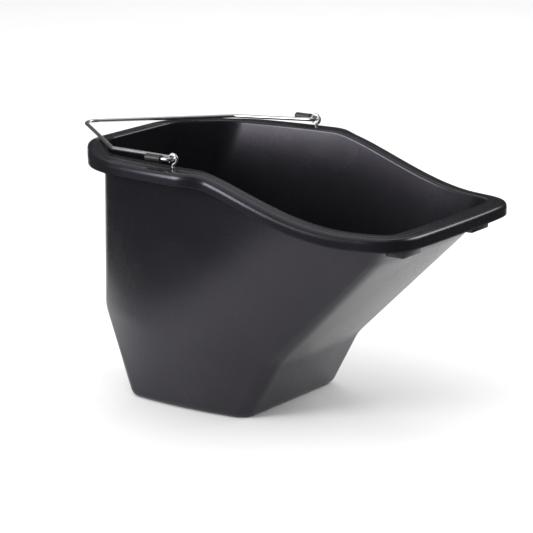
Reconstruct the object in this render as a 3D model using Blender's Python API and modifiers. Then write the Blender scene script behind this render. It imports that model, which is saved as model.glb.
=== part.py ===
"""A flat-backed feed bucket with a low front lip and a swinging wire bail.

Metres, +Z up. +X points forwards to the low lip, +Y to the bucket's left.
The origin is the centre of the flat base, where it stands.
"""

import math

import bmesh
import bpy
import numpy as np
from mathutils import Matrix, Vector

# --- Driving dimensions ---------------------------------------------------------------------
WALL = 0.004                 # moulded thickness, the same in the base, walls, flange and skirt
GAP = 0.0003                 # between pieces that touch
PLAY = 0.0005                # between a shank and its hole

BASE_LENGTH = 0.180          # along X, over the outside of the base
BASE_WIDTH = 0.202
BASE_EDGE_RADIUS = 0.0085    # where the base turns up into the walls
CORNER_CUT = 0.0125          # the four upright corners, measured along each of their two walls
KNEE_RADIUS = 0.009          # how far the bend in the back and front spreads each way
BROW_RADIUS = 0.005          # and the bend below the lip

BACK_KNEE_HEIGHT = 0.103     # the back slopes out from the base up to here, then stands upright
BACK_KNEE_REACH = 0.051      # how far that slope carries the back behind the base
BACK_KNEE_WIDTH = 0.158
BACK_LEAN = 0.004            # how far the upright part leans back by the time it meets the flange
BACK_TOP_WIDTH = 0.134       # the flat part of the back, between the two cut-off corners
CUT_CORNER_LENGTH = 0.049    # the cut-off corners, measured along X at the flange

FRONT_KNEE_HEIGHT = 0.073    # the front is steep up to here, then opens out at about 45 degrees
FRONT_KNEE_REACH = 0.040
FRONT_KNEE_WIDTH = 0.198
FRONT_TOP_REACH = 0.211      # from the front of the base to the front wall at the flange
FRONT_BAND_HEIGHT = 0.039    # the front wall is steeper again for this much below the flange
FRONT_BAND_LEAN = 0.029      # and leans forwards by this much over that height
FRONT_BAND_FADE = 0.150      # and that turn fades out along the sides over this length
FRONT_TOP_WIDTH = 0.236      # over the front corners at the flange
TOP_ROUNDING = 0.019         # how far before each corner the wall starts to curve, at the flange

SHOULDER_WIDTH = 0.253       # over the walls at the flange, where the cut-off corners end
SIDE_BULGE_TOP = 0.0215      # how far each side bows out of its own chord
SIDE_BULGE_BASE = 0.006
FRONT_BULGE = 0.003
BULGE_POWER = 2.2            # 2 bows an edge to a parabola, and more makes its middle flatter

RIM_HEIGHT = 0.308           # top of the flange over the sides
RIM_BACK_RISE = 0.002        # the flange climbs by this much towards the back
LIP_DROP = 0.050             # and it is lower than that by this much at the front
DIP_AFTER_EYES = 0.0326      # the flange runs level until this far in front of the eyes, then dips
DIP_BEFORE_LIP = 0.039       # and it is level again from this far behind the front wall
DIP_BIAS = 0.78              # below 1, the dip is steepest near its start

FLANGE_BACK = 0.0250         # flange width from the inside edge to the outside, at the back
FLANGE_EAR = 0.033           # beside the eyes
FLANGE_DIP = 0.0230          # along the dip
FLANGE_FRONT = 0.0255
EAR_START = 0.8              # the flange starts to widen this share of the way along the cut-off corner
EAR_FLAT = 0.0165            # it keeps its full width until this far in front of the eyes
EAR_FADE = 0.0396            # and narrows over this length
SKIRT_DEPTH = 0.016          # from the top of the flange to the bottom of the skirt
FLANGE_UNDER_RADIUS = 0.0025 # inside radius between flange and skirt

LUG_FROM_CORNER = 0.0105     # each lug under the front lip starts this far in from its corner
LUG_LENGTH = 0.038
LUG_OVERLAP = 0.001          # how far a lug runs into the wall and the flange that it joins
LUG_DROP = 0.014             # how far a lug hangs below the skirt
LUG_REACH = 0.004            # how far its front stands off the front wall

BAIL_WIRE = 0.0048
EYE_FORWARD = 0.0224         # the eyes, and with them the bail's axis
EYE_WIRE = 0.0036            # the eye bolt's wire, and its shank
EYE_SLACK = 0.0026           # how much wider the eye's hole is than the bail's wire
EYE_STEM = 0.0030            # bare shank between the flange and the ring
WASHER_DIAMETER = 3.2 * EYE_WIRE
WASHER_THICKNESS = 0.001
NUT_ACROSS_FLATS = 1.95 * EYE_WIRE
NUT_HEIGHT = 0.9 * EYE_WIRE
THREAD_TAIL = 0.0015         # shank showing past the nut

BAIL_BEND_BEHIND = 0.1088    # the arms bend inwards this far behind the axis
BAIL_BEND_INSET = 0.0245     # and there they are this much closer to the middle than the eyes are
BAIL_BEND_RADIUS = 0.012
BAIL_OVERHANG = 0.0704       # the nose's middle, behind the place where the bail rests on the flange
BAIL_NOSE_RADIUS = 0.0165    # centre line of the round nose
BAIL_NOSE_RISE = 0.0020      # the nose is set up a little out of the plane of the arms
HOOK_SLACK = 0.0011          # how much wider the hook turns than the ring that it passes through
HOOK_TAIL = 0.027            # straight tail after the turn
SLEEVE_SHORT_OF_TURN = 0.0035
SLEEVE_WALL = 0.0022
SLEEVE_END_WALL = 0.0015     # closed end of the sleeve past the tail
SLEEVE_END_ROUND = 0.0016    # how far the closed end's rounding runs along the sleeve
SLEEVE_MOUTH_ROUND = 0.0009

STATIONS_BACK = 3            # steps along each part of half an outline, from back to front
STATIONS_CUT = 4
STATIONS_SIDE = 20
STATIONS_NOTCH = 2
STATIONS_FRONT = 5
STATIONS_CORNER = 4
MOST_ROUNDING = 0.45         # a corner's curve takes at most this share of an edge
STEPS_EDGE = 4               # rings in the base's edge
STEPS_BEND = 3               # and in each gentler bend
STEPS_BROW = 2
STEPS_SHANK = 16             # sides of a round shank, and so on
STEPS_HOLE = 24
STEPS_RING = 28
STEPS_RING_WIRE = 12
STEPS_BORE = 18
STEPS_SLEEVE = 20
STEPS_HOOK = 10
STEPS_WIRE_BEND = 5
WIRE_ROUNDNESS = 3           # the bail's bevel resolution
SHARP_ANGLE = math.radians(35)

# --- Derived places -------------------------------------------------------------------------
BASE_BACK = -BASE_LENGTH / 2
BASE_FRONT = BASE_LENGTH / 2
KNEE_BACK = BASE_BACK - BACK_KNEE_REACH
KNEE_FRONT = BASE_FRONT + FRONT_KNEE_REACH
WALL_BACK = KNEE_BACK - BACK_LEAN
WALL_FRONT = BASE_FRONT + FRONT_TOP_REACH
LIP_HEIGHT = RIM_HEIGHT - LIP_DROP
DIP_START = EYE_FORWARD + DIP_AFTER_EYES
DIP_END = WALL_FRONT - DIP_BEFORE_LIP
EYE_HOLE = BAIL_WIRE + EYE_SLACK
EYE_RING_RADIUS = (EYE_HOLE + EYE_WIRE) / 2
EYE_CENTRE_HEIGHT = RIM_HEIGHT + EYE_STEM + EYE_HOLE / 2 + EYE_WIRE
HOOK_RADIUS = EYE_RING_RADIUS + HOOK_SLACK
SLEEVE_LENGTH = HOOK_TAIL - SLEEVE_SHORT_OF_TURN
SIDES = {"left": 1, "right": -1}

BLACK_PLASTIC = ("black_polyethylene", (0.022, 0.022, 0.025), 0.34, 0.0)
BRIGHT_STEEL = ("bright_zinc_steel", (0.62, 0.62, 0.63), 0.24, 1.0)
BLACK_VINYL = ("black_vinyl", (0.014, 0.014, 0.015), 0.5, 0.0)


# --- Scene helpers --------------------------------------------------------------------------
def clear_scene():
    for obj in list(bpy.data.objects):
        bpy.data.objects.remove(obj, do_unlink=True)


def new_collection(name):
    collection = bpy.data.collections.new(name)
    bpy.context.scene.collection.children.link(collection)
    return collection


def material(name, colour, roughness, metallic):
    found = bpy.data.materials.get(name)
    if found:
        return found
    made = bpy.data.materials.new(name)
    made.use_nodes = True
    shader = made.node_tree.nodes["Principled BSDF"]
    shader.inputs["Base Color"].default_value = (*colour, 1.0)
    shader.inputs["Roughness"].default_value = roughness
    shader.inputs["Metallic"].default_value = metallic
    return made


def place(name, mesh, finish, collection, location=(0, 0, 0)):
    """A named object with its material, shaded smooth but for its sharp edges."""
    obj = bpy.data.objects.new(name, mesh)
    obj.location = location
    collection.objects.link(obj)
    if finish:
        mesh.materials.append(material(*finish))
        mesh.shade_smooth()
        mesh.set_sharp_from_angle(angle=SHARP_ANGLE)
    return obj


def mesh_from(name, bm):
    mesh = bpy.data.meshes.new(name)
    bm.to_mesh(mesh)
    bm.free()
    return mesh


def as_cutter(obj):
    obj.hide_render = True
    obj.display_type = "WIRE"
    return obj


def boolean(obj, other, operation):
    modifier = obj.modifiers.new(other.name, "BOOLEAN")
    modifier.operation = operation
    modifier.solver = "EXACT"
    modifier.object = other


def cylinder(name, radius, bottom, top, segments):
    """An upright closed cylinder between two heights, on the Z axis."""
    bm = bmesh.new()
    bmesh.ops.create_cone(
        bm,
        cap_ends=True,
        segments=segments,
        radius1=radius,
        radius2=radius,
        depth=top - bottom,
        matrix=Matrix.Translation((0, 0, (top + bottom) / 2)),
    )
    return mesh_from(name, bm)


# --- The bucket's outlines and heights ------------------------------------------------------
def smooth(t):
    t = np.clip(t, 0.0, 1.0)
    return t * t * (3 - 2 * t)


def rim_height(x):
    """Top of the flange: a little high at the back, level beside the eyes, then down to the lip."""
    back = RIM_BACK_RISE * smooth((WALL_BACK + CUT_CORNER_LENGTH - x) / CUT_CORNER_LENGTH)
    along = np.clip((x - DIP_START) / (DIP_END - DIP_START), 0.0, 1.0)
    return RIM_HEIGHT + back - (RIM_HEIGHT - LIP_HEIGHT) * smooth(along**DIP_BIAS)


def flange_width(x):
    """Flange width from its inside edge, widest beside the eyes where the bolts pass."""
    ear = smooth((x - WALL_BACK) / CUT_CORNER_LENGTH - EAR_START)
    dip = smooth((x - EYE_FORWARD - EAR_FLAT) / EAR_FADE)
    front = smooth((x - DIP_END) / (WALL_FRONT - DIP_END))
    width = FLANGE_BACK + (FLANGE_EAR - FLANGE_BACK) * ear
    width = width + (FLANGE_DIP - FLANGE_EAR) * dip
    return width + (FLANGE_FRONT - FLANGE_DIP) * front


def bowed(start, end, bulge, t):
    """Points from start to end, bowed out by bulge on the outer side of a path going forwards."""
    start, end = np.array(start), np.array(end)
    along = end - start
    out = np.array([-along[1], along[0]]) / np.hypot(*along)
    t = np.asarray(t)[:, None]
    return start + along * t + out * bulge * (1 - np.abs(2 * t - 1) ** BULGE_POWER)


def half_outline(corners, side_bulge, front_bulge, rounding):
    """The left half of a closed outline, from the middle of the back to the middle of the front.

    corners are its four corners from back to front, and each is a quadratic curve that leaves
    the edges `rounding` before it. The back and front edges run on to the right half.
    """
    steps = [STATIONS_BACK, STATIONS_CUT, STATIONS_SIDE, STATIONS_NOTCH, STATIONS_FRONT]
    bulges = [0.0, 0.0, side_bulge, 0.0, front_bulge]
    (back, back_half), (front, front_half) = corners[0], corners[-1]
    path = [(back, -back_half), *corners, (front, -front_half)]
    points = []
    for index, (start, end) in enumerate(zip(path[:-1], path[1:])):
        trim = min(rounding / math.dist(start, end), MOST_ROUNDING)
        first = trim if index > 0 else 0.5
        last = 1 - trim if index < len(steps) - 1 else 0.5
        points.append(bowed(start, end, bulges[index], np.linspace(first, last, steps[index] + 1)))
    half = [points[0]]
    for before, after, corner in zip(points[:-1], points[1:], corners):
        t = (np.arange(1, STATIONS_CORNER) / STATIONS_CORNER)[:, None]
        half.append((1 - t) ** 2 * before[-1] + 2 * t * (1 - t) * np.array(corner) + t**2 * after[0])
        half.append(after)
    return np.concatenate(half)


def closed(half):
    """Both halves of an outline that starts and ends on the middle plane, as one loop."""
    mirrored = half[-2:0:-1] * np.array([1, -1] + [1] * (half.shape[1] - 2))
    return np.concatenate([half, mirrored])


def base_outline(inset=0.0):
    """The outside of the base, or a line drawn inside it at the same distance all round."""
    cut = CORNER_CUT - (2 - math.sqrt(2)) * inset
    half = BASE_WIDTH / 2 - inset
    back, front = BASE_BACK + inset, BASE_FRONT - inset
    corners = [(back, half - cut), (back + cut, half), (front - cut, half), (front, half - cut)]
    return half_outline(corners, SIDE_BULGE_BASE, 0.0, cut / 2)


def knee_outline():
    """The bend in the back and the front. Its sides are bowed to lie in the plane of the walls."""
    cut = CORNER_CUT / 2
    share = (BACK_KNEE_HEIGHT + FRONT_KNEE_HEIGHT) / (RIM_HEIGHT + LIP_HEIGHT)
    top = (SHOULDER_WIDTH + FRONT_TOP_WIDTH) / 4 + SIDE_BULGE_TOP
    base = BASE_WIDTH / 2 + SIDE_BULGE_BASE
    chord = (BACK_KNEE_WIDTH + FRONT_KNEE_WIDTH) / 4
    bulge = base + (top - base) * share - chord
    corners = [
        (KNEE_BACK, BACK_KNEE_WIDTH / 2 - cut),
        (KNEE_BACK + cut, BACK_KNEE_WIDTH / 2 + cut / 2),
        (KNEE_FRONT - CORNER_CUT, FRONT_KNEE_WIDTH / 2),
        (KNEE_FRONT, FRONT_KNEE_WIDTH / 2 - CORNER_CUT),
    ]
    return half_outline(corners, bulge, FRONT_BULGE, cut)


def top_outline():
    """The outside of the walls where they meet the flange."""
    corners = [
        (WALL_BACK, BACK_TOP_WIDTH / 2),
        (WALL_BACK + CUT_CORNER_LENGTH, SHOULDER_WIDTH / 2),
        (WALL_FRONT - CORNER_CUT, FRONT_TOP_WIDTH / 2),
        (WALL_FRONT, FRONT_TOP_WIDTH / 2 - CORNER_CUT),
    ]
    return half_outline(corners, SIDE_BULGE_TOP, FRONT_BULGE, TOP_ROUNDING)


def eye_side():
    """How far the eyes stand from the middle plane: a washer's radius clear of the side wall."""
    half = top_outline()
    widest = int(np.argmax(half[:, 1]))
    rising = half[: widest + 1]
    wall = np.interp(EYE_FORWARD, rising[:, 0], rising[:, 1])
    if EYE_FORWARD > half[widest, 0]:
        wall = np.interp(EYE_FORWARD, half[widest:, 0], half[widest:, 1])
    return float(wall) + WASHER_DIAMETER / 2 + GAP


def outward(loop):
    """Unit plan normals of a closed loop that runs clockwise seen from above."""
    along = np.roll(loop, -1, axis=0) - np.roll(loop, 1, axis=0)
    out = np.stack([-along[:, 1], along[:, 0]], axis=1)
    return out / np.linalg.norm(out, axis=1, keepdims=True)


def lift(plan, height):
    return np.concatenate([plan, np.broadcast_to(height, len(plan))[:, None]], axis=1)


def turn(start, corner, end, count):
    """Rings of a rounded edge: a quadratic curve at each station, ends included."""
    rings = []
    for t in np.linspace(0, 1, count):
        rings.append((1 - t) ** 2 * start + 2 * t * (1 - t) * corner + t**2 * end)
    return rings


def towards(origin, target, distance):
    along = target - origin
    return origin + along * distance / np.linalg.norm(along, axis=1, keepdims=True)


def bend(before, corner, after, radius, count):
    """Rings through a bend that starts and ends `radius` from its corner."""
    return turn(towards(corner, before, radius), corner, towards(corner, after, radius), count)


def front_band(knee, top):
    """The bend below the lip, where the sloping front turns steeper. It fades along the sides."""
    share = 1 - FRONT_BAND_HEIGHT / (top[:, 2] - knee[:, 2])
    straight = knee + (top - knee) * share[:, None]
    forward = top[:, 0] - FRONT_BAND_LEAN - straight[:, 0]
    fade = smooth(1 - (WALL_FRONT - CORNER_CUT - top[:, 0]) / FRONT_BAND_FADE)
    straight[:, 0] += forward * fade
    return straight


def shell_rings():
    """Rings up the outside of the bucket, from the flat of the base to the foot of the skirt."""
    knee_plan, top_plan = closed(knee_outline()), closed(top_outline())
    base = lift(closed(base_outline()), 0.0)
    flat = lift(closed(base_outline(BASE_EDGE_RADIUS)), 0.0)
    share = smooth((knee_plan[:, 0] - KNEE_BACK) / (KNEE_FRONT - KNEE_BACK))
    knee = lift(knee_plan, BACK_KNEE_HEIGHT + (FRONT_KNEE_HEIGHT - BACK_KNEE_HEIGHT) * share)
    top = lift(top_plan, rim_height(top_plan[:, 0]) - WALL)
    brow = front_band(knee, top)
    out = outward(top_plan)
    reach = (flange_width(top_plan[:, 0]) - 2 * WALL)[:, None]
    skirt_plan = top_plan + out * reach
    skirt_top = lift(skirt_plan, rim_height(skirt_plan[:, 0]) - WALL)
    skirt_foot = skirt_top - np.array([0, 0, SKIRT_DEPTH - WALL])
    rings = turn(flat, base, towards(base, knee, BASE_EDGE_RADIUS), STEPS_EDGE)
    rings += bend(base, knee, brow, KNEE_RADIUS, STEPS_BEND)
    rings += bend(knee, brow, top, BROW_RADIUS, STEPS_BROW)
    rings.append(top)
    rings += bend(top, skirt_top, skirt_foot, FLANGE_UNDER_RADIUS, STEPS_BEND)
    rings.append(skirt_foot)
    return rings


# --- Pieces ---------------------------------------------------------------------------------
def bucket_sheet():
    """The outside of the shell as one open sheet, facing outwards."""
    bm = bmesh.new()
    rings = [[bm.verts.new(point) for point in ring] for ring in shell_rings()]
    bm.faces.new(rings[0])
    count = len(rings[0])
    for lower, upper in zip(rings[:-1], rings[1:]):
        for i in range(count):
            j = (i + 1) % count
            bm.faces.new((lower[i], upper[i], upper[j], lower[j]))
    bmesh.ops.recalc_face_normals(bm, faces=bm.faces)
    bm.faces.ensure_lookup_table()
    if bm.faces[0].normal.z > 0:
        bmesh.ops.reverse_faces(bm, faces=bm.faces)
    return mesh_from("bucket_shell", bm)


def lug_mesh(side):
    """A wedge between the sloping front wall and the underside of the flange."""
    foot = LIP_HEIGHT - SKIRT_DEPTH - LUG_DROP
    head = LIP_HEIGHT - WALL + LUG_OVERLAP
    front = WALL_FRONT + LUG_REACH
    outer = FRONT_TOP_WIDTH / 2 - CORNER_CUT - LUG_FROM_CORNER
    wall_slope = FRONT_BAND_LEAN / FRONT_BAND_HEIGHT
    wall_at_foot = WALL_FRONT - (LIP_HEIGHT - WALL - foot) * wall_slope
    back = {foot: wall_at_foot - 2 * LUG_OVERLAP, head: WALL_FRONT - LUG_OVERLAP}
    bm = bmesh.new()
    bmesh.ops.create_cube(bm, size=1.0)
    for vertex in bm.verts:
        z = head if vertex.co.z > 0 else foot
        x = front if vertex.co.x > 0 else back[z]
        y = outer if vertex.co.y > 0 else outer - LUG_LENGTH
        vertex.co = (x, side * y, z)
    bmesh.ops.recalc_face_normals(bm, faces=bm.faces)
    return mesh_from("lug", bm)


def build_bucket(parts, cutters):
    shell = place("bucket_shell", bucket_sheet(), BLACK_PLASTIC, parts)
    wall = shell.modifiers.new("wall", "SOLIDIFY")
    wall.thickness = WALL
    wall.offset = -1
    wall.use_even_offset = True
    wall.use_quality_normals = True
    for name, side in SIDES.items():
        lug = place("lug_" + name, lug_mesh(side), None, cutters)
        boolean(shell, as_cutter(lug), "UNION")
        drill = cylinder("hole", EYE_WIRE / 2 + PLAY, -2 * WALL, WALL, STEPS_HOLE)
        hole = place("hole_" + name, drill, None, cutters, (EYE_FORWARD, side * eye_side(), RIM_HEIGHT))
        boolean(shell, as_cutter(hole), "DIFFERENCE")


def eye_bolt_mesh(side_name):
    """A ring of wire standing on a straight shank, with the ring's centre as its origin."""
    through_flange = EYE_CENTRE_HEIGHT - RIM_HEIGHT + WALL
    below = through_flange + GAP + WASHER_THICKNESS + GAP + NUT_HEIGHT + THREAD_TAIL
    bpy.ops.mesh.primitive_torus_add(
        major_radius=EYE_RING_RADIUS,
        minor_radius=EYE_WIRE / 2,
        major_segments=STEPS_RING,
        minor_segments=STEPS_RING_WIRE,
    )
    torus = bpy.context.object
    bm = bmesh.new()
    bm.from_mesh(torus.data)
    bm.transform(Matrix.Rotation(math.pi / 2, 4, "X"))
    bpy.data.objects.remove(torus, do_unlink=True)
    ring = mesh_from("ring_" + side_name, bm)
    return ring, cylinder("shank_" + side_name, EYE_WIRE / 2, -below, -EYE_RING_RADIUS, STEPS_SHANK)


def ring_piece(name, outer_radius, segments, inner_radius, bottom, top):
    """A flat ring, or a nut where it has six sides, with an open hole."""
    bm = bmesh.new()
    for radius, count in ((outer_radius, segments), (inner_radius, STEPS_BORE)):
        bmesh.ops.create_circle(bm, cap_ends=False, radius=radius, segments=count)
    edges = bm.edges[:]
    bmesh.ops.triangle_fill(bm, use_beauty=True, edges=edges)
    inside = [f for f in bm.faces if all(v.co.length < inner_radius * 1.01 for v in f.verts)]
    bmesh.ops.delete(bm, geom=inside, context="FACES")
    raised = bmesh.ops.extrude_face_region(bm, geom=bm.faces[:])
    verts = [item for item in raised["geom"] if isinstance(item, bmesh.types.BMVert)]
    bmesh.ops.translate(bm, verts=verts, vec=(0, 0, top - bottom))
    bmesh.ops.translate(bm, verts=bm.verts[:], vec=(0, 0, bottom))
    bmesh.ops.recalc_face_normals(bm, faces=bm.faces)
    return mesh_from(name, bm)


def build_eyes(parts, cutters):
    """On each side: the eye bolt through the flange, its washer, and its nut below."""
    flange_under = RIM_HEIGHT - WALL
    washer_top = flange_under - GAP
    nut_top = washer_top - WASHER_THICKNESS - GAP
    bore = EYE_WIRE / 2 + GAP
    for name, side in SIDES.items():
        at = Vector((EYE_FORWARD, side * eye_side(), 0))
        ring, shank = eye_bolt_mesh(name)
        centre = at + Vector((0, 0, EYE_CENTRE_HEIGHT))
        bolt = place("eye_bolt_" + name, ring, BRIGHT_STEEL, parts, centre)
        boolean(bolt, as_cutter(place("shank_" + name, shank, None, cutters, centre)), "UNION")
        washer = ring_piece(
            "washer", WASHER_DIAMETER / 2, STEPS_HOLE, bore, washer_top - WASHER_THICKNESS, washer_top
        )
        place("washer_" + name, washer, BRIGHT_STEEL, parts, at)
        corner_radius = NUT_ACROSS_FLATS / 2 / math.cos(math.pi / 6)
        nut = ring_piece("nut", corner_radius, 6, bore, nut_top - NUT_HEIGHT, nut_top)
        place("nut_" + name, nut, BRIGHT_STEEL, parts, at)


def arc(centre, radius, first, last, count):
    """Points of a level arc between two angles, ends included."""
    angles = np.linspace(first, last, count + 1)
    return [centre + radius * Vector((math.cos(a), math.sin(a), 0)) for a in angles]


def rounded_corner(before, corner, after, radius):
    """Points of an arc that rounds the corner of a wire, tangent to both of its legs."""
    to_before = (before - corner).normalized()
    to_after = (after - corner).normalized()
    half = to_before.angle(to_after) / 2
    setback = radius / math.tan(half)
    centre = corner + (to_before + to_after).normalized() * radius / math.sin(half)
    start = corner + to_before * setback - centre
    end = corner + to_after * setback - centre
    sweep = start.angle(end)
    points = []
    for i in range(STEPS_WIRE_BEND + 1):
        there = sweep * i / STEPS_WIRE_BEND
        points.append(centre + (start * math.sin(sweep - there) + end * math.sin(there)) / math.sin(sweep))
    return points


def touch_angle(centre, radius, point):
    """Where on a level circle a straight wire from a point comes to lie along it."""
    away = point.xy - centre.xy
    angle = math.atan2(away.y, away.x) + math.acos(radius / away.length)
    return math.remainder(angle, 2 * math.pi)


def bail_half():
    """Centre line of the bail's left half, from the end of its hook's tail to the nose.

    Its points are relative to the bail's axis, with the bail lying on the back of the flange.
    """
    rest_behind = EYE_FORWARD - WALL_BACK + FLANGE_BACK / 4
    nose_behind = rest_behind + BAIL_OVERHANG
    past_bend = (rest_behind - BAIL_BEND_BEHIND) / (nose_behind - BAIL_BEND_BEHIND)
    rest_height = RIM_HEIGHT + RIM_BACK_RISE + BAIL_WIRE / 2 + 2 * GAP
    slope = (rest_height - BAIL_NOSE_RISE * past_bend - EYE_CENTRE_HEIGHT) / rest_behind
    corner = Vector((-BAIL_BEND_BEHIND, eye_side() - BAIL_BEND_INSET, BAIL_BEND_BEHIND * slope))
    hook_centre = Vector((-HOOK_RADIUS, eye_side(), 0))
    leave_hook = touch_angle(hook_centre, HOOK_RADIUS, corner)
    hook = arc(hook_centre, HOOK_RADIUS, math.pi / 2, leave_hook, STEPS_HOOK)
    tail = hook[0] - Vector((HOOK_TAIL, 0, 0))
    nose_centre = Vector((BAIL_NOSE_RADIUS - nose_behind, 0, nose_behind * slope + BAIL_NOSE_RISE))
    reach_nose = touch_angle(nose_centre, BAIL_NOSE_RADIUS, corner)
    nose = arc(nose_centre, BAIL_NOSE_RADIUS, reach_nose, math.pi, STEPS_WIRE_BEND)
    return [tail] + hook + rounded_corner(hook[-1], corner, nose[0], BAIL_BEND_RADIUS) + nose


def wire(name, points, radius, finish, collection):
    """A round wire along a line of points, closed at both ends."""
    curve = bpy.data.curves.new(name, "CURVE")
    curve.dimensions = "3D"
    curve.bevel_depth = radius
    curve.bevel_resolution = WIRE_ROUNDNESS
    curve.use_fill_caps = True
    spline = curve.splines.new("POLY")
    spline.points.add(len(points) - 1)
    for slot, point in zip(spline.points, points):
        slot.co = (*point, 1.0)
    curve.materials.append(material(*finish))
    obj = bpy.data.objects.new(name, curve)
    collection.objects.link(obj)
    return obj


def build_bail(parts):
    """The bail and the two sleeves on its hook tails, all under an empty on the bail's axis."""
    pivot = bpy.data.objects.new("bail_axis", None)
    pivot.location = (EYE_FORWARD, 0, EYE_CENTRE_HEIGHT)
    parts.objects.link(pivot)
    half = bail_half()
    other = [Vector((p.x, -p.y, p.z)) for p in half[-2::-1]]
    bail = wire("bail_handle", half + other, BAIL_WIRE / 2, BRIGHT_STEEL, parts)
    bail.parent = pivot
    tail = half[0]
    for name, side in SIDES.items():
        sleeve = sleeve_mesh(name)
        start = Vector((tail.x - SLEEVE_END_WALL - GAP, side * tail.y, tail.z))
        obj = place("hook_sleeve_" + name, sleeve, BLACK_VINYL, parts, start)
        obj.parent = pivot


def sleeve_mesh(name):
    """A soft cap turned about X: closed at its back end, open at the front to take the tail."""
    outer = BAIL_WIRE / 2 + SLEEVE_WALL
    inner = BAIL_WIRE / 2 + GAP
    profile = [
        (0.0, 0.0),
        (0.0, outer - SLEEVE_END_ROUND),
        (SLEEVE_END_ROUND / 3, outer - SLEEVE_END_ROUND / 3),
        (SLEEVE_END_ROUND, outer),
        (SLEEVE_LENGTH - SLEEVE_MOUTH_ROUND, outer),
        (SLEEVE_LENGTH, outer - SLEEVE_MOUTH_ROUND),
        (SLEEVE_LENGTH, inner),
        (SLEEVE_END_WALL, inner),
        (SLEEVE_END_WALL, 0.0),
    ]
    bm = bmesh.new()
    verts = [bm.verts.new((x, 0, r)) for x, r in profile]
    edges = [bm.edges.new(pair) for pair in zip(verts[:-1], verts[1:])]
    bmesh.ops.spin(
        bm,
        geom=verts + edges,
        cent=(0, 0, 0),
        axis=(1, 0, 0),
        angle=2 * math.pi,
        steps=STEPS_SLEEVE,
        use_merge=True,
    )
    bmesh.ops.remove_doubles(bm, verts=bm.verts, dist=1e-6)
    bmesh.ops.recalc_face_normals(bm, faces=bm.faces)
    return mesh_from("hook_sleeve_" + name, bm)


clear_scene()
feed_bucket = new_collection("feed_bucket")
cutting = new_collection("cutters")
build_bucket(feed_bucket, cutting)
build_eyes(feed_bucket, cutting)
build_bail(feed_bucket)
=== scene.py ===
"""The looks of a flat-backed feed bucket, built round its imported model.

Metres, +Z up. +X points forwards to the low lip, +Y to the bucket's left.
"""

import math

import bpy
import numpy as np
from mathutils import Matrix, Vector


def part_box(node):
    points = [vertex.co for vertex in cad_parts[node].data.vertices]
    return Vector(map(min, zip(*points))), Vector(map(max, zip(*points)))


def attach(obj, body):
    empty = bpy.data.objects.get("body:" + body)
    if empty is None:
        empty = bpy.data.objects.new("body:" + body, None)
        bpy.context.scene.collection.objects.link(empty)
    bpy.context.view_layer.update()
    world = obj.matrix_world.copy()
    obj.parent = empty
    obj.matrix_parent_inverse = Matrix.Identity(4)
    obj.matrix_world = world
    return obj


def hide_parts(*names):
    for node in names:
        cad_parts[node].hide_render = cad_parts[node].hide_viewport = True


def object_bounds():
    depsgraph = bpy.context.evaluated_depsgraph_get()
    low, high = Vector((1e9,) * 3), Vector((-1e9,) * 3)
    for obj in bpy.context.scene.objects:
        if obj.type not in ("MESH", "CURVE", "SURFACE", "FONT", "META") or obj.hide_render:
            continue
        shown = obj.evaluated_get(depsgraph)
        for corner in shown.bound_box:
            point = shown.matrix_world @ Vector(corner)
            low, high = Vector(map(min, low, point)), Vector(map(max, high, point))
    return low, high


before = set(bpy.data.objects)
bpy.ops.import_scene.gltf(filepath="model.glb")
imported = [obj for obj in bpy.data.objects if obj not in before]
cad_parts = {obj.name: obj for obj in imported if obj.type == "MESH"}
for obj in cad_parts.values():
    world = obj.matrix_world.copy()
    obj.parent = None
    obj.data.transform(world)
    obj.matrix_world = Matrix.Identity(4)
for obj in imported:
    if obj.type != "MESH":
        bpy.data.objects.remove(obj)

model_low, model_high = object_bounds()


# --- The moulded bucket ---------------------------------------------------------------------
# One moulding in black polyethylene with the same wall everywhere. From a small flat base the
# back slopes out and then stands upright, the front opens out to a low lip, and a flange with a
# turned-down skirt runs round the rim. Two wedges are moulded on under the lip.
shell_low, shell_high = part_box("bucket_shell")
eye_low, eye_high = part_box("eye_bolt_left")

wall = 0.004
base_length, base_width = 0.180, 0.202
base_corner = 0.0125                  # the four upright corners, along each of their two walls
back_knee_height, front_knee_height = 0.103, 0.073
back_knee_reach, front_knee_reach = 0.051, 0.040
back_knee_width, front_knee_width = 0.158, 0.198
back_flat_width, cut_corner_length = 0.134, 0.049
shoulder_width, front_width = 0.253, 0.236
rim_rounding = 0.019                  # how far before each corner the rim starts to turn
most_rounding = 0.45                  # a corner's curve takes at most this share of an edge
side_bow_at_rim, side_bow_at_base, front_bow = 0.0215, 0.006, 0.003
bow_power = 2.2                       # 2 bows an edge to a parabola, and more flattens its middle
brow_height, brow_lean, brow_fade = 0.039, 0.029, 0.150

flange_back, flange_ear, flange_dip, flange_front = 0.025, 0.033, 0.023, 0.0255
ear_start = 0.8                       # it widens from this share of the way along the cut-off corner
ear_flat, ear_fade = 0.0165, 0.0396   # it keeps its width this far past the eyes, then narrows
skirt_depth = 0.016
back_rise = 0.002                     # the rim climbs this much towards the back
lip_height = 0.258
dip_start, dip_end, dip_bias = 0.055, 0.262, 0.78
ledge_place = 0.46                    # where along the flange its ledge is, of the flange's width
ledge_drop, ledge_run = 0.0007, 1.5   # how far it steps down, and over how many times that length
base_edge_turn, knee_turn, brow_turn, floor_turn = 0.0085, 0.009, 0.005, 0.007
flange_root_turn, flange_under_turn, skirt_edge_turn = 0.0015, 0.0025, 0.0012
rim_outer_turn, rim_inner_turn, ledge_turn = 0.0075, 0.0030, 0.0008

eye_forward = (eye_low.x + eye_high.x) / 2
eye_side = (eye_low.y + eye_high.y) / 2
rim_height_at_eyes = shell_high.z - back_rise
wall_back = shell_low.x + flange_back - wall
wall_front = shell_high.x - flange_front + wall - front_bow
base_back, base_front = -base_length / 2, base_length / 2
knee_back, knee_front = base_back - back_knee_reach, base_front + front_knee_reach


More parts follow.
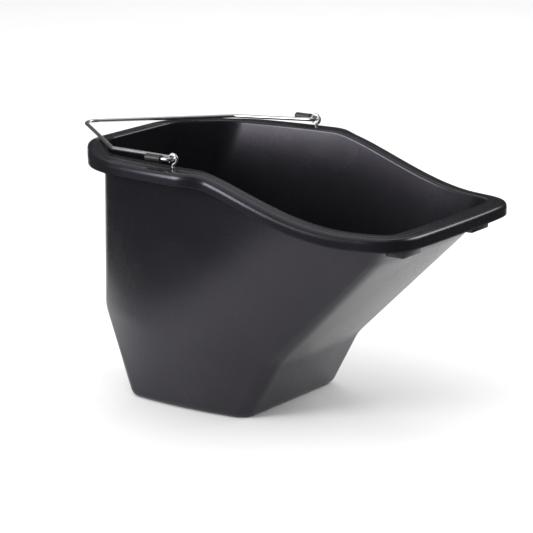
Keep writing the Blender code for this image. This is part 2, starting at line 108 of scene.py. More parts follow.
def smooth(t):
    """0 to 1 with level ends: 3 t^2 - 2 t^3 of t held between 0 and 1."""
    t = np.clip(t, 0.0, 1.0)
    return t * t * (3 - 2 * t)


def rim_height(x):
    """Top of the flange: level beside the eyes, a little high behind them, and down to the lip."""
    behind = back_rise * smooth((wall_back + cut_corner_length - x) / cut_corner_length)
    along = np.clip((x - dip_start) / (dip_end - dip_start), 0.0, 1.0)
    return rim_height_at_eyes + behind - (rim_height_at_eyes - lip_height) * smooth(along**dip_bias)


def flange_width(x):
    """Flange width, eased from the back to the eyes, from there to the dip, and on to the lip."""
    ear = smooth((x - wall_back) / cut_corner_length - ear_start)
    dip = smooth((x - eye_forward - ear_flat) / ear_fade)
    front = smooth((x - dip_end) / (wall_front - dip_end))
    width = flange_back + (flange_ear - flange_back) * ear
    width = width + (flange_dip - flange_ear) * dip
    return width + (flange_front - flange_dip) * front


def outline(corners, side_bow, nose_bow, rounding):
    """A closed plan outline through four corners a side, running clockwise seen from above.

    Each edge is a straight line plus bow * (1 - |2t - 1|^bow_power) square to it, and each corner
    a quadratic curve that starts and ends `rounding` from it. The right half mirrors the left.
    """
    counts = [12, 14, 104, 9, 24]     # steps along each edge, from the back to the front
    corner_points = 7
    bows = [0.0, 0.0, side_bow, 0.0, nose_bow]
    (back, back_half), (front, front_half) = corners[0], corners[-1]
    path = [(back, -back_half), *corners, (front, -front_half)]
    edges = []
    for index, (start, end) in enumerate(zip(path[:-1], path[1:])):
        trim = min(rounding / math.dist(start, end), most_rounding)
        first = trim if index > 0 else 0.5
        last = 1 - trim if index < len(counts) - 1 else 0.5
        t = np.linspace(first, last, counts[index] + 1)[:, None]
        start, along = np.array(start), np.array(end) - np.array(start)
        out = np.array([-along[1], along[0]]) / np.hypot(*along)
        bow = bows[index] * (1 - np.abs(2 * t - 1) ** bow_power)
        edges.append(start + along * t + out * bow)
    half = [edges[0]]
    for before, after, corner in zip(edges[:-1], edges[1:], corners):
        t = np.linspace(0, 1, corner_points + 2)[1:-1, None]
        half.append((1 - t) ** 2 * before[-1] + 2 * t * (1 - t) * np.array(corner) + t**2 * after[0])
        half.append(after)
    half = np.concatenate(half)
    return np.concatenate([half, half[-2:0:-1] * (1, -1)])


def base_outline(inset=0.0):
    """The outside of the base, or a line that runs inside it at one distance all round."""
    cut = base_corner - (2 - math.sqrt(2)) * inset
    half = base_width / 2 - inset
    back, front = base_back + inset, base_front - inset
    corners = [(back, half - cut), (back + cut, half), (front - cut, half), (front, half - cut)]
    return outline(corners, side_bow_at_base, 0.0, cut / 2)


def knee_outline():
    """Where the back and front bend. Its sides bow just enough to lie on the side walls."""
    cut = base_corner / 2
    share = (back_knee_height + front_knee_height) / (rim_height_at_eyes + lip_height)
    at_rim = (shoulder_width + front_width) / 4 + side_bow_at_rim
    at_base = base_width / 2 + side_bow_at_base
    bow = at_base + (at_rim - at_base) * share - (back_knee_width + front_knee_width) / 4
    corners = [
        (knee_back, back_knee_width / 2 - cut),
        (knee_back + cut, back_knee_width / 2 + cut / 2),
        (knee_front - base_corner, front_knee_width / 2),
        (knee_front, front_knee_width / 2 - base_corner),
    ]
    return outline(corners, bow, front_bow, cut)


def rim_outline():
    """The outside of the walls where they meet the flange."""
    corners = [
        (wall_back, back_flat_width / 2),
        (wall_back + cut_corner_length, shoulder_width / 2),
        (wall_front - base_corner, front_width / 2),
        (wall_front, front_width / 2 - base_corner),
    ]
    return outline(corners, side_bow_at_rim, front_bow, rim_rounding)


def lift(plan, height):
    """Plan points given a height each, or one height for all."""
    return np.concatenate([plan, np.broadcast_to(height, len(plan))[:, None]], axis=1)


def unit(vectors):
    """Vectors over their lengths."""
    return vectors / np.linalg.norm(vectors, axis=-1, keepdims=True)


def bends_outside():
    """The rings where the outside of the moulding bends, from the base to the skirt's foot."""
    knee_plan, rim_plan = knee_outline(), rim_outline()
    flat = lift(base_outline(2 * wall), 0.0)
    base = lift(base_outline(), 0.0)
    forward = smooth((knee_plan[:, 0] - knee_back) / (knee_front - knee_back))
    knee = lift(knee_plan, back_knee_height + (front_knee_height - back_knee_height) * forward)
    top = lift(rim_plan, rim_height(rim_plan[:, 0]) - wall)
    brow = knee + (top - knee) * (1 - brow_height / (top[:, 2] - knee[:, 2]))[:, None]
    fade = smooth(1 - (wall_front - base_corner - top[:, 0]) / brow_fade)
    brow[:, 0] += (top[:, 0] - brow_lean - brow[:, 0]) * fade
    round_rim = np.roll(rim_plan, -1, axis=0) - np.roll(rim_plan, 1, axis=0)
    out = unit(np.stack([-round_rim[:, 1], round_rim[:, 0]], axis=1))
    skirt_plan = rim_plan + out * (flange_width(rim_plan[:, 0]) - 2 * wall)[:, None]
    skirt_top = lift(skirt_plan, rim_height(skirt_plan[:, 0]) - wall)
    return [flat, base, knee, brow, top, skirt_top, skirt_top - (0, 0, skirt_depth - wall)]


def other_face(before, bend, after):
    """Where a bend lies on the sheet's other face: moved by its mitre, wall (n + m) / (1 + n.m).

    n and m are the unit normals of the panels before and after it.
    """
    round_ring = np.roll(bend, -1, axis=0) - np.roll(bend, 1, axis=0)
    n = unit(np.cross(bend - before, round_ring))
    m = unit(np.cross(after - bend, round_ring))
    return bend - wall * (n + m) / (1 + (n * m).sum(axis=1, keepdims=True))


straight_rows = np.array([0.02, 0.07, 0.25, 0.5, 0.75, 0.93, 0.98])    # of each straight stretch


def section(bends, radii):
    """Rings that run straight between bends and turn through each on a quadratic curve.

    A turn starts and ends its radius from the bend, and has six rings.
    """
    rings = [bends[0]]
    for before, bend, after, radius in zip(bends[:-2], bends[1:-1], bends[2:], radii):
        start, end = bend + unit(before - bend) * radius, bend + unit(after - bend) * radius
        rings += [rings[-1] * (1 - row) + start * row for row in straight_rows]
        t = np.linspace(0, 1, 6)
        rings += [(1 - s) ** 2 * start + 2 * s * (1 - s) * bend + s**2 * end for s in t]
    return rings + [rings[-1] * (1 - row) + bends[-1] * row for row in (*straight_rows, 1.0)]


def bucket_rings():
    """All the rings, from the middle of the underside, over the rim, to the middle of the floor."""
    outside = bends_outside()
    flat, skirt_top, skirt_foot = outside[0], outside[-2], outside[-1]
    inside = [other_face(*three) for three in zip(outside[:-2], outside[1:-1], outside[2:])]
    floor_edge, inner_knee, inner_brow, rim_inner, rim_outer = inside
    ledge_in = rim_inner + (rim_outer - rim_inner) * ledge_place
    ledge_out = ledge_in + unit(rim_outer - rim_inner) * ledge_drop * ledge_run - (0, 0, ledge_drop)
    rim_outer = rim_outer - (0, 0, ledge_drop)
    foot_out = skirt_foot + (rim_outer - skirt_top) * (1, 1, 0)
    floor = lift(base_outline(3 * wall), wall)
    outer = section(
        [flat, *outside[1:-1], skirt_foot, foot_out],
        [base_edge_turn, knee_turn, brow_turn, flange_root_turn, flange_under_turn, skirt_edge_turn],
    )
    inner = section(
        [skirt_foot, foot_out, rim_outer, ledge_out, ledge_in, rim_inner]
        + [inner_brow, inner_knee, floor_edge, floor],
        [skirt_edge_turn, rim_outer_turn, ledge_turn, ledge_turn, rim_inner_turn]
        + [brow_turn, knee_turn, floor_turn],
    )
    under = [flat * share for share in (0.0, 0.4, 0.8)]
    above = [floor * (share, share, 1.0) for share in (0.8, 0.4, 0.0)]
    grid = np.stack(under + outer[:-1] + inner[1 + len(straight_rows):] + above)
    return grid * (1.0, shell_high.y / grid[..., 1].max(), 1.0)


def skin(name, grid, uv=None, round_rows=False):
    """A mesh over a grid of points [row, station], closed round each row.

    The first and last rows are poles, each one point, unless round_rows closes the rows too.
    uv gives each grid point a place (station, row), with one more station and row at the seams.
    """
    rows, stations = grid.shape[:2]
    index = np.arange(rows * stations).reshape(rows, stations)
    if not round_rows:
        index[0], index[-1] = index[0, 0], index[-1, 0]
    down = np.arange(rows if round_rows else rows - 1)
    r, s = np.meshgrid(down, np.arange(stations), indexing="ij")
    r, s = r.ravel(), s.ravel()
    next_r, next_s = (r + 1) % rows, (s + 1) % stations
    quads = np.stack([index[r, s], index[r, next_s], index[next_r, next_s], index[next_r, s]], axis=1)
    places = None
    if uv is not None:
        places = np.stack([uv[r, s], uv[r, s + 1], uv[r + 1, s + 1], uv[r + 1, s]], axis=1)
    used, compact = np.unique(quads, return_inverse=True)
    quads = compact.reshape(quads.shape)
    keep = quads != np.roll(quads, 1, axis=1)
    faces = [quad[kept].tolist() for quad, kept in zip(quads, keep)]
    mesh = bpy.data.meshes.new(name)
    mesh.from_pydata(grid.reshape(-1, 3)[used], [], faces)
    if places is not None:
        layer = mesh.uv_layers.new(name="along")
        layer.data.foreach_set("uv", places[keep].astype(np.float32).ravel())
    mesh.update()
    return mesh


def show(name, mesh, sharp_angle):
    """An object at the origin, shaded smooth but for edges sharper than the angle."""
    piece = bpy.data.objects.new(name, mesh)
    bpy.context.scene.collection.objects.link(piece)
    mesh.shade_smooth()
    mesh.set_sharp_from_angle(angle=math.radians(sharp_angle))
    return piece


def settle(piece, helpers):
    """Works a piece's modifiers into its mesh and clears away what they used."""
    graph = bpy.context.evaluated_depsgraph_get()
    rough = piece.data
    piece.data = bpy.data.meshes.new_from_object(piece.evaluated_get(graph))
    piece.modifiers.clear()
    bpy.data.meshes.remove(rough)
    for helper in helpers:
        bpy.data.objects.remove(helper, do_unlink=True)


def lip_wedge(side):
    """Eight corners between the front wall, the flange and two upright ends, with soft edges.

    It runs into the wall and the flange by the overlap, so that the three join in one body.
    """
    inner_end, length, drop, stand_off, overlap = 0.057, 0.038, 0.014, 0.004, 0.001
    foot, head = lip_height - skirt_depth - drop, lip_height - wall + overlap
    slope = brow_lean / brow_height
    wall_at_foot = wall_front - (lip_height - wall - foot) * slope
    front = wall_front + stand_off
    x = np.array([wall_at_foot - 2 * overlap, front, front, wall_front - overlap] * 2)
    z = np.array([foot, foot, head, head] * 2)
    y = side * (inner_end + np.repeat([0.0, length], 4))
    mesh = bpy.data.meshes.new("lip_wedge")
    faces = [(0, 1, 2, 3), (7, 6, 5, 4), (0, 4, 5, 1), (1, 5, 6, 2), (2, 6, 7, 3), (3, 7, 4, 0)]
    if side < 0:
        faces = [face[::-1] for face in faces]
    mesh.from_pydata(np.stack([x, y, z], axis=1), [], faces)
    wedge = show("lip_wedge", mesh, 30)
    soften = wedge.modifiers.new("soft edges", "BEVEL")
    soften.width = 0.0008
    soften.segments = 2
    return wedge


def eye_hole(side):
    """A drilled hole through the flange: a round bar to cut with."""
    shank, play, reach = 0.0036, 0.0005, 3 * wall
    angle = np.linspace(0, 2 * math.pi, 33)[:-1]
    radii = np.array([0.0, 1.0, 1.0, 0.0])[:, None] * (shank / 2 + play)
    heights = rim_height_at_eyes + np.array([-reach, -reach, reach, reach])[:, None]
    x = eye_forward + radii * np.cos(angle)
    y = side * eye_side + radii * np.sin(angle)
    grid = np.stack([x, y, np.broadcast_to(heights, x.shape)], axis=2)
    return show("eye_hole", skin("eye_hole", grid), 30)


bucket = show("moulded_bucket", skin("moulded_bucket", bucket_rings()), 40)
wedges = [lip_wedge(1), lip_wedge(-1)]
holes = [eye_hole(1), eye_hole(-1)]
for helper, operation in [(w, "UNION") for w in wedges] + [(h, "DIFFERENCE") for h in holes]:
    cut = bucket.modifiers.new(helper.name, "BOOLEAN")
    cut.operation = operation
    cut.solver = "EXACT"
    cut.object = helper
settle(bucket, wedges + holes)
bucket.data.set_sharp_from_angle(angle=math.radians(40))


class Socket:
    """One output of a material's nodes. + - * and the larger of two add Math nodes to it."""

    def __init__(self, tree, output=None):
        self.tree = tree
        self.output = output

    def node(self, kind, settings, sockets, output=0):
        """Any node: its type, its settings, the values or links of its sockets, and its output."""
        made = self.tree.nodes.new(kind)
        for name, value in settings.items():
            setattr(made, name, value)
        for name, value in sockets.items():
            if isinstance(value, Socket):
                self.tree.links.new(value.output, made.inputs[name])
            else:
                made.inputs[name].default_value = value
        return Socket(self.tree, made.outputs[output])

    def math(self, operation, first, second):
        return self.node("ShaderNodeMath", {"operation": operation}, {0: first, 1: second})

    def __add__(self, other):
        return self.math("ADD", self, other)

    def __radd__(self, other):
        return self.math("ADD", other, self)

    def __sub__(self, other):
        return self.math("SUBTRACT", self, other)

    def __rsub__(self, other):
        return self.math("SUBTRACT", other, self)

    def __mul__(self, other):
        return self.math("MULTIPLY", self, other)

    def __rmul__(self, other):
        return self.math("MULTIPLY", other, self)

    def larger(self, other):
        return self.math("MAXIMUM", self, other)

    def above(self, low, high):
        """0 below low, 1 above high, and eased between them."""
        sockets = {"Value": self, "From Min": low, "From Max": high}
        return self.node("ShaderNodeMapRange", {"interpolation_type": "SMOOTHSTEP"}, sockets)

    def between(self, first, second):
        """A colour from first, where this is 0, to second, where it is 1."""
        sockets = {"Factor": self, 6: first, 7: second}
        return self.node("ShaderNodeMix", {"data_type": "RGBA"}, sockets, 2)

    def grain(self, scale, detail=2.0, roughness=0.5, stretch=(1.0, 1.0, 1.0)):
        """Noise over this place, with `scale` patches a metre, stretched by a Mapping node."""
        place = self.node("ShaderNodeMapping", {}, {"Vector": self, "Scale": stretch})
        sockets = {"Vector": place, "Scale": scale, "Detail": detail, "Roughness": roughness}
        return self.node("ShaderNodeTexNoise", {}, sockets)

    def bump(self, height, depth, onto=None):
        """A normal for a height of 0 to 1 over depth metres, on top of another normal."""
        sockets = {"Height": height, "Distance": depth, "Strength": 1.0}
        if onto:
            sockets["Normal"] = onto
        return self.node("ShaderNodeBump", {}, sockets)


def new_finish(name):
    """A material, its shader, and the place on the piece that its patterns read."""
    made = bpy.data.materials.new(name)
    made.use_nodes = True
    shader = made.node_tree.nodes["Principled BSDF"]
    tree = Socket(made.node_tree)
    return made, shader, tree.node("ShaderNodeTexCoord", {}, {}, "Object")


def feed(shader, **sockets):
    """Sets or links the shader's sockets, named with _ for a space."""
    for name, value in sockets.items():
        socket = shader.inputs[name.replace("_", " ")]
        if isinstance(value, Socket):
            value.tree.links.new(value.output, socket)
        else:
            socket.default_value = value


def black_polyethylene():
    """Semi-gloss moulded plastic: slow waves, orange peel, fine scuffs and paler rubbed patches.

    Its sheen is tinted slightly violet.
    """
    made, shader, place = new_finish("black_polyethylene")
    waves = place.grain(7.0, 1.0, 0.4)
    peel = place.grain(330.0, 2.0, 0.55)
    pitting = place.grain(1500.0, 1.0, 0.5)
    mottle = place.grain(16.0, 4.0, 0.6)
    rubbed = place.grain(14.0, 4.0, 0.6).above(0.45, 0.85)
    long_scuffs = place.grain(90.0, 2.0, 0.55, (0.5, 1.0, 22.0)).above(0.68, 0.80)
    cross_scuffs = place.grain(70.0, 2.0, 0.55, (24.0, 0.5, 1.0)).above(0.69, 0.80)
    scuffs = long_scuffs.larger(cross_scuffs)
    colour = mottle.between((0.0052, 0.0049, 0.0062, 1), (0.0090, 0.0084, 0.0102, 1))
    colour = (scuffs * 0.10 + rubbed * 0.10).between(colour, (0.030, 0.028, 0.034, 1))
    roughness = 0.23 + mottle * 0.05 + rubbed * 0.04 + scuffs * 0.03 + pitting * 0.015
    normal = place.bump(waves, 0.0022)
    normal = place.bump(peel, 0.00003, normal)
    normal = place.bump(pitting * 0.6 - scuffs * 0.2, 0.000010, normal)
    violet = (0.90, 0.85, 1.0, 1.0)
    feed(shader, Base_Color=colour, Roughness=roughness, Normal=normal)
    feed(shader, IOR=1.45, Specular_Tint=violet)
    return made


bucket.data.materials.clear()
bucket.data.materials.append(black_polyethylene())
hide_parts("bucket_shell")
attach(bucket, "bucket")


# --- The eyes: bolts, washers and nuts ------------------------------------------------------
# Each eye is zinc-plated steel wire, bent round until its end meets the neck, with a thread cut
# on its shank. It drops through the flange and is held under it by a flat washer and a hex nut.
eye_wire = eye_high.y - eye_low.y
eye_ring = (eye_high.x - eye_low.x - eye_wire) / 2       # centre line of the ring
eye_centre = eye_high.z - eye_ring - eye_wire / 2
thread_pitch, thread_depth = 0.0008, 0.00022
steps_in_pitch = 8                    # points along the shank in each turn of the thread


def tube(name, line, radius, around=24, up=(0.0, 0.0, 1.0)):
    """Round wire: circles of the given radius, square to a line of points, with domed ends.

    A circle's point at angle a is the line's point plus radius (cos a side + sin a over), where
    side is square to the line and to `up`. Its map runs (round, along), both in metres.
    """
    along = unit(np.gradient(line, axis=0))
    side = unit(np.cross(along, up))
    over = np.cross(side, along)
    radius = radius * np.ones((len(line), around))
    angle = np.linspace(0, -2 * math.pi, around, endpoint=False)
    spread = side[:, None] * np.cos(angle)[None, :, None] + over[:, None] * np.sin(angle)[None, :, None]
    grid = line[:, None] + spread * radius[..., None]
    dome = np.cos(np.linspace(math.pi / 2, 0.25, 4))[:, None, None]
    sink = 0.25 * radius[0, 0] * (1 - np.sqrt(1 - dome**2))
    first = line[0] + sink * along[0] + spread[0] * radius[0][:, None] * dome
    last = line[-1] - sink * along[-1] + spread[-1] * radius[-1][:, None] * dome
    grid = np.concatenate([first, grid, last[::-1]])
    middle = np.concatenate([first.mean(axis=1), line, last[::-1].mean(axis=1)])
    run = np.concatenate([[0], np.cumsum(np.linalg.norm(np.diff(middle, axis=0), axis=1))])
    round_wire = np.linspace(0, 2 * math.pi * radius.max(), around + 1)
    uv = np.stack(np.meshgrid(round_wire, run), axis=2)
    return skin(name, grid, uv)


def eye_line(side):
    """Up the shank, over a short neck and round the ring, all in one upright plane.

    The neck is a cubic curve. The ring is a circle from 32 degrees in front of its lowest point,
    over the top, to 42 degrees behind that point, where the wire was cut.
    """
    neck_drop, neck_pull = 0.6 * eye_wire, 0.45 * eye_wire
    neck_start = -eye_ring - neck_drop
    t = np.linspace(0, 1, 15)[1:, None]
    start_angle, end_angle = math.radians(-90 + 32), math.radians(270 - 42)
    ring_start = eye_ring * np.array([math.cos(start_angle), math.sin(start_angle)])
    heading = np.array([-math.sin(start_angle), math.cos(start_angle)])
    leave, leave_pull = np.array([0, neck_start]), np.array([0, neck_start + neck_pull])
    neck = (1 - t) ** 3 * leave + 3 * t * (1 - t) ** 2 * leave_pull
    neck = neck + 3 * t**2 * (1 - t) * (ring_start - heading * neck_pull) + t**3 * ring_start
    angle = np.linspace(start_angle, end_angle, 61)[1:]
    ring = eye_ring * np.stack([np.cos(angle), np.sin(angle)], axis=1)
    height = np.arange(eye_low.z - eye_centre, neck_start, thread_pitch / steps_in_pitch)
    shank = np.stack([np.zeros_like(height), height], axis=1)
    plane = np.concatenate([shank, neck, ring])
    across = np.full(len(plane), side * eye_side)
    line = np.stack([eye_forward + plane[:, 0], across, eye_centre + plane[:, 1]], axis=1)
    return line, len(height)


def eye_bolt(name, side):
    """The eye's wire, its radius less a groove that winds once round in each pitch of thread."""
    line, shank_rows = eye_line(side)
    around = 24
    rows_up = np.arange(len(line))[:, None]
    turns = np.arange(around)[None, :] / around - rows_up / steps_in_pitch
    groove = thread_depth * (0.5 - 0.5 * np.cos(2 * math.pi * turns))
    run_in, run_out, bare = 6, 10, 12     # points over which it deepens, fades, and is absent
    cut = smooth(rows_up / run_in) * smooth((shank_rows - bare - rows_up) / run_out)
    return show(name, tube(name, line, eye_wire / 2 - groove * cut, around, (0.0, 1.0, 0.0)), 60)


def ring_section(name, far, half_height, bore, centre, stations=60):
    """A flat ring about an upright axis, whose section is an oblong with softened corners.

    The section is x = sign(c)|c|^(1/4), z = sign(s)|s|^(1/4) for c, s = cos, sin of an angle.
    Height is half_height z, and radius runs from bore, at x = -1, to far(angle, height) at 1.
    The section's angles start a little past 0, so that no sine or cosine is 0.
    """
    angle = np.linspace(0, 2 * math.pi, stations, endpoint=False)[None, :]
    turn = np.linspace(0, 2 * math.pi, 40, endpoint=False)[:, None] + 0.01
    across = np.sign(np.cos(turn)) * np.abs(np.cos(turn)) ** 0.25
    height = half_height * np.sign(np.sin(turn)) * np.abs(np.sin(turn)) ** 0.25
    radius = bore + (far(angle, height) - bore) * (across + 1) / 2
    x = centre.x + radius * np.cos(angle)
    y = centre.y + radius * np.sin(angle)
    z = centre.z + np.broadcast_to(height, x.shape)
    return show(name, skin(name, np.stack([x, y, z], axis=2)[::-1], round_rows=True), 50)


def washer(name, node):
    """A stamped washer: the same outside radius all round."""
    low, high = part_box(node)
    return ring_section(
        name,
        lambda angle, height: (high.x - low.x) / 2 + 0 * angle * height,
        (high.z - low.z) / 2,
        eye_wire / 2,
        (low + high) / 2,
    )


def hex_nut(name, node):
    """A nut: the smaller of a hexagon and a chamfer's cone, both at the same angle and height.

    The hexagon is flat / cos(angle from its flat), and the cone narrows towards each face.
    """
    low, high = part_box(node)
    half_height = (high.z - low.z) / 2
    flat = min(high.x - low.x, high.y - low.y) / 2

    def far(angle, height):
        from_flat = (angle + math.pi / 6) % (math.pi / 3) - math.pi / 6
        cone = flat * 1.02 + (half_height - np.abs(height)) * 1.7
        return np.minimum(flat / np.cos(from_flat), cone)

    return ring_section(name, far, half_height, eye_wire / 2, (low + high) / 2, 96)


def zinc_plate(name, drawn):
    """Bright zinc on steel: faint crystals, dull bloom and fine marks, drawn along a wire."""
    made, shader, place = new_finish(name)
    if drawn:
        along = place.node("ShaderNodeUVMap", {"uv_map": "along"}, {})
        lines = along.grain(1500.0, 2.0, 0.6, (1.0, 0.015, 1.0))
    else:
        lines = place.grain(900.0, 2.0, 0.6, (1.0, 1.0, 6.0))
    bloom = place.grain(120.0, 4.0, 0.65)
    specks = place.grain(900.0, 3.0, 0.7).above(0.62, 0.72)
    crystals = place.node(
        "ShaderNodeTexVoronoi", {"feature": "F1"}, {"Vector": place, "Scale": 420.0}, 1
    )
    shade = crystals.node("ShaderNodeSeparateColor", {}, {"Color": crystals})
    colour = bloom.between((0.50, 0.50, 0.51, 1), (0.70, 0.70, 0.69, 1))
    colour = (specks * 0.5).between(colour, (0.30, 0.29, 0.28, 1))
    roughness = 0.20 + bloom * 0.16 + specks * 0.15 + shade * 0.05 + lines * 0.06
    normal = place.bump(lines, 0.00004)
    normal = place.bump(bloom + shade * 0.4, 0.00002, normal)
    feed(shader, Base_Color=colour, Roughness=roughness, Normal=normal, Metallic=1.0)
    return made


wire_zinc = zinc_plate("zinc_plated_wire", True)
stamped_zinc = zinc_plate("zinc_plated_hardware", False)
for hand, side in (("left", 1), ("right", -1)):
    fittings = {
        "eye_bolt_" + hand: (eye_bolt("formed_eye_" + hand, side), wire_zinc),
        "washer_" + hand: (washer("flat_washer_" + hand, "washer_" + hand), stamped_zinc),
        "nut_" + hand: (hex_nut("hex_nut_" + hand, "nut_" + hand), stamped_zinc),
    }
    for node, (fitting, finish) in fittings.items():
        fitting.data.materials.append(finish)
        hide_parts(node)
        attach(fitting, "bucket")


# --- The bail -------------------------------------------------------------------------------
# One length of the same zinc-plated wire, drawn straight and bent cold. Each arm ends in a hook
# through its eye, the arms bend inwards behind the bucket's sides, and they meet in a round nose.
bail_low, bail_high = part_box("bail_handle")
bail_wire = 2 * (bail_high.x - eye_forward)
hook_turn = bail_high.y - bail_wire / 2 - eye_side
nose_behind = eye_forward - bail_low.x - bail_wire / 2
bend_behind, bend_inset, bend_turn = 0.1088, 0.0245, 0.012
bend_half_width = eye_side - bend_inset
nose_turn, nose_rise = 0.0165, 0.002
hook_tail, rest_gap = 0.027, 0.0006
wire_step = 0.0011                    # between points along the wire
rest_behind = eye_forward - wall_back + flange_back / 4       # where it lies on the flange
rest_height = rim_height_at_eyes + back_rise + bail_wire / 2 + rest_gap
rest_share = (rest_behind - bend_behind) / (nose_behind - bend_behind)
arm_slope = (rest_height - nose_rise * rest_share - eye_centre) / rest_behind


def level_arc(centre, radius, first, last, steps=40):
    """The centre plus radius (cos a, sin a, 0), for angles a from first to last."""
    angle = np.linspace(first, last, steps + 1)
    return centre + radius * np.stack([np.cos(angle), np.sin(angle), 0 * angle], axis=1)


def touch_angle(centre, radius, point):
    """Where a straight wire from a point meets a level circle: the bearing plus acos(r / d)."""
    away = point[:2] - centre[:2]
    angle = math.atan2(away[1], away[0]) + math.acos(radius / np.hypot(*away))
    return math.remainder(angle, 2 * math.pi)


def bent(before, corner, after, radius, steps=24):
    """A corner's arc, turned from one tangent point to the other about the arc's centre."""
    back, on = unit(before - corner), unit(after - corner)
    half = math.acos(float(back @ on)) / 2
    centre = corner + unit(back + on) * radius / math.sin(half)
    start = corner + back * radius / math.tan(half) - centre
    end = corner + on * radius / math.tan(half) - centre
    sweep = math.pi - 2 * half
    share = np.linspace(0, 1, steps + 1)[:, None] * sweep
    return centre + (start * np.sin(sweep - share) + end * np.sin(share)) / math.sin(sweep)


def even_steps(line, step):
    """The line again, with its points a step apart: each coordinate interpolated on length."""
    run = np.concatenate([[0], np.cumsum(np.linalg.norm(np.diff(line, axis=0), axis=1))])
    wanted = np.linspace(0, run[-1], int(run[-1] / step) + 1)
    return np.stack([np.interp(wanted, run, line[:, axis]) for axis in range(3)], axis=1)


def bail_line():
    """The wire's centre line, from the left hook's tail, round the nose, to the right one's."""
    bend = np.array([-bend_behind, bend_half_width, bend_behind * arm_slope])
    hook_centre = np.array([-hook_turn, eye_side, 0.0])
    hook = level_arc(hook_centre, hook_turn, math.pi / 2, touch_angle(hook_centre, hook_turn, bend))
    nose_height = nose_behind * arm_slope + nose_rise
    nose_centre = np.array([nose_turn - nose_behind, 0.0, nose_height])
    nose = level_arc(nose_centre, nose_turn, touch_angle(nose_centre, nose_turn, bend), math.pi)
    tail = hook[:1] - (hook_tail, 0, 0)
    half = np.concatenate([tail, hook, bent(hook[-1], bend, nose[0], bend_turn), nose])
    line = np.concatenate([half, half[-2::-1] * (1, -1, 1)])
    return even_steps(line, wire_step) + (eye_forward, 0.0, eye_centre)


bail = show("bail_wire", tube("bail_wire", bail_line(), bail_wire / 2), 60)
bail.data.materials.append(wire_zinc)
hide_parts("bail_handle")
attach(bail, "bail")


# --- The hook sleeves -----------------------------------------------------------------------
# Short black vinyl caps, dipped and pushed over the hooks' tails so that the cut wire can't
# scratch. Each is closed behind, with a soft rolled mouth in front.
def sleeve(name, node):
    """A profile of radius against length, turned about the tail.

    Its closed end is a flattened dome, sin(t)^0.8 out against 1 - cos(t) along, and its outside
    swells a little towards a rolled mouth, then turns in to the bore and back to the end wall.
    """
    low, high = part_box(node)
    centre = (low + high) / 2
    outer = (high.z - low.z) / 2
    gap, end_wall, bead, mouth = 0.0003, 0.0015, 0.0009, 0.0004
    dome_share, waist = 0.45, 0.94    # the dome's length and the body's radius, of the full radius
    bore = bail_wire / 2 + gap
    t = np.linspace(0, math.pi / 2, 12)
    dome_x = low.x + outer * dome_share * (1 - np.cos(t))
    dome_r = outer * waist * np.sin(t) ** 0.8
    body = np.linspace(0, 1, 16)[1:]
    body_x = dome_x[-1] + (high.x - bead - dome_x[-1]) * body
    body_r = outer * (waist + (1 - waist) * smooth((body - 0.8) / 0.15))
    lip_x = high.x - bead + bead * np.sin(t)[1:]
    lip_r = outer - bead + bead * np.cos(t)[1:]
    bottom = low.x + end_wall
    bore_x = np.array([high.x, high.x - mouth, centre.x, bottom, bottom])
    bore_r = np.array([bore + mouth, bore, bore, bore, 0.0])
    x = np.concatenate([dome_x, body_x, lip_x, bore_x])[:, None]
    r = np.concatenate([dome_r, body_r, lip_r, bore_r])[:, None]
    angle = np.linspace(0, -2 * math.pi, 40, endpoint=False)
    y, z = centre.y + r * np.cos(angle), centre.z + r * np.sin(angle)
    return show(name, skin(name, np.stack([np.broadcast_to(x, y.shape), y, z], axis=2)), 45)


def dipped_vinyl():
    """Soft black vinyl: a satin skin with slow ripples from the dipping, fine grain and dust."""
    made, shader, place = new_finish("dipped_vinyl")
    ripples = place.grain(160.0, 2.0, 0.5)
    grain = place.grain(2200.0, 2.0, 0.6)
    dust = place.grain(500.0, 4.0, 0.7).above(0.55, 0.75)
    colour = ripples.between((0.008, 0.008, 0.009, 1), (0.015, 0.015, 0.016, 1))
    colour = (dust * 0.4).between(colour, (0.045, 0.044, 0.043, 1))
    roughness = 0.42 + ripples * 0.08 + dust * 0.14
    normal = place.bump(grain, 0.00002, place.bump(ripples, 0.0001))
    feed(shader, Base_Color=colour, Roughness=roughness, Normal=normal, IOR=1.53)
    return made


vinyl = dipped_vinyl()
for hand in ("left", "right"):
    cap = sleeve("vinyl_cap_" + hand, "hook_sleeve_" + hand)
    cap.data.materials.append(vinyl)
    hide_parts("hook_sleeve_" + hand)
    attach(cap, "bail")


# --- The set --------------------------------------------------------------------------------
# A pale floor that runs out of sight behind, and four softboxes: overhead, to the left of the
# camera, behind on the right and over the far floor. What the plastic mirrors is kept dim.
middle = (model_low + model_high) / 2
azimuth, elevation, distance, lens = math.radians(35.0), math.radians(14.29), 3.0969, 172.0
floor_drop = 0.0002                   # keeps the floor just clear of the base
towards_camera = Vector((
    math.sin(azimuth) * math.cos(elevation),
    -math.cos(azimuth) * math.cos(elevation),
    math.sin(elevation),
))


def pale_floor():
    """A matt, nearly white sweep with a faint mottle."""
    made, shader, place = new_finish("pale_floor")
    speckle = place.grain(9.0, 3.0, 0.6)
    colour = speckle.between((0.88, 0.88, 0.885, 1), (0.92, 0.92, 0.92, 1))
    feed(shader, Base_Color=colour, Roughness=0.65)
    return made


def from_camera(right, away):
    """A point on the floor, given to the right of the middle and away from the camera."""
    c, s = math.cos(azimuth), math.sin(azimuth)
    return (middle.x + c * right - s * away, middle.y + s * right + c * away, -floor_drop)


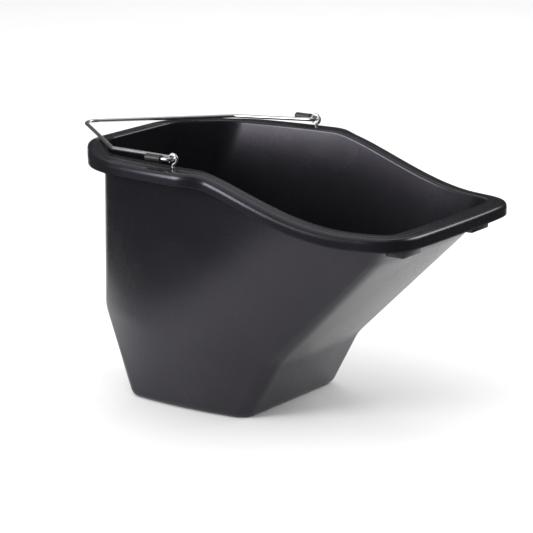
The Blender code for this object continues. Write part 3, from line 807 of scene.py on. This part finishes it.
front_edge, front_left, front_right = -0.50, -0.42, 0.55
far_edge, far_left, far_right = 30.0, -5.0, 5.0
floor_mesh = bpy.data.meshes.new("floor")
floor_corners = [
    from_camera(front_left, front_edge),
    from_camera(front_right, front_edge),
    from_camera(far_right, far_edge),
    from_camera(far_left, far_edge),
]
floor_mesh.from_pydata(floor_corners, [], [(0, 1, 2, 3)])
floor = bpy.data.objects.new("floor", floor_mesh)
bpy.context.scene.collection.objects.link(floor)
floor_mesh.materials.append(pale_floor())


def softbox(name, place, aim, width, height, power):
    """An oblong lamp at a place, turned to face its aim."""
    lamp = bpy.data.lights.new(name, "AREA")
    lamp.shape = "RECTANGLE"
    lamp.size, lamp.size_y = width, height
    lamp.energy = power
    box = bpy.data.objects.new(name, lamp)
    box.location = place
    box.rotation_euler = (Vector(aim) - Vector(place)).to_track_quat("-Z", "Y").to_euler()
    bpy.context.scene.collection.objects.link(box)


softbox("overhead", (-0.6, -0.4, 2.3), (0.0, 0.0, 0.0), 2.6, 2.6, 22.0)
softbox("left_of_camera", (-1.15, -2.2, 0.95), (0.1, 0.1, 0.25), 1.2, 1.3, 60.0)
softbox("behind_right", (1.3, 1.9, 1.7), (0.5, 0.7, 0.0), 1.2, 1.2, 34.0)
far_floor = Vector(from_camera(0.0, 2.9))
softbox("over_the_far_floor", far_floor + Vector((0.0, 0.0, 2.6)), far_floor, 3.0, 2.0, 20.0)

room = bpy.data.worlds.new("room")
bpy.context.scene.world = room
room.use_nodes = True
air = Socket(room.node_tree)
glossy = air.node("ShaderNodeLightPath", {}, {}, "Is Glossy Ray")
seen = air.node("ShaderNodeLightPath", {}, {}, "Is Camera Ray")
mirrored = glossy.between((0.82, 0.82, 0.82, 1), (0.06, 0.06, 0.065, 1))
level = seen.between(mirrored, (1.0, 1.0, 1.0, 1))
air.tree.links.new(level.output, room.node_tree.nodes["Background"].inputs["Color"])

camera_data = bpy.data.cameras.new("camera")
camera_data.lens, camera_data.sensor_width = lens, 36.0
camera = bpy.data.objects.new("camera", camera_data)
camera.location = middle + towards_camera * distance
camera.rotation_euler = (-towards_camera).to_track_quat("-Z", "Y").to_euler()
bpy.context.scene.collection.objects.link(camera)
bpy.context.scene.camera = camera
bpy.context.scene.view_settings.view_transform = "Standard"
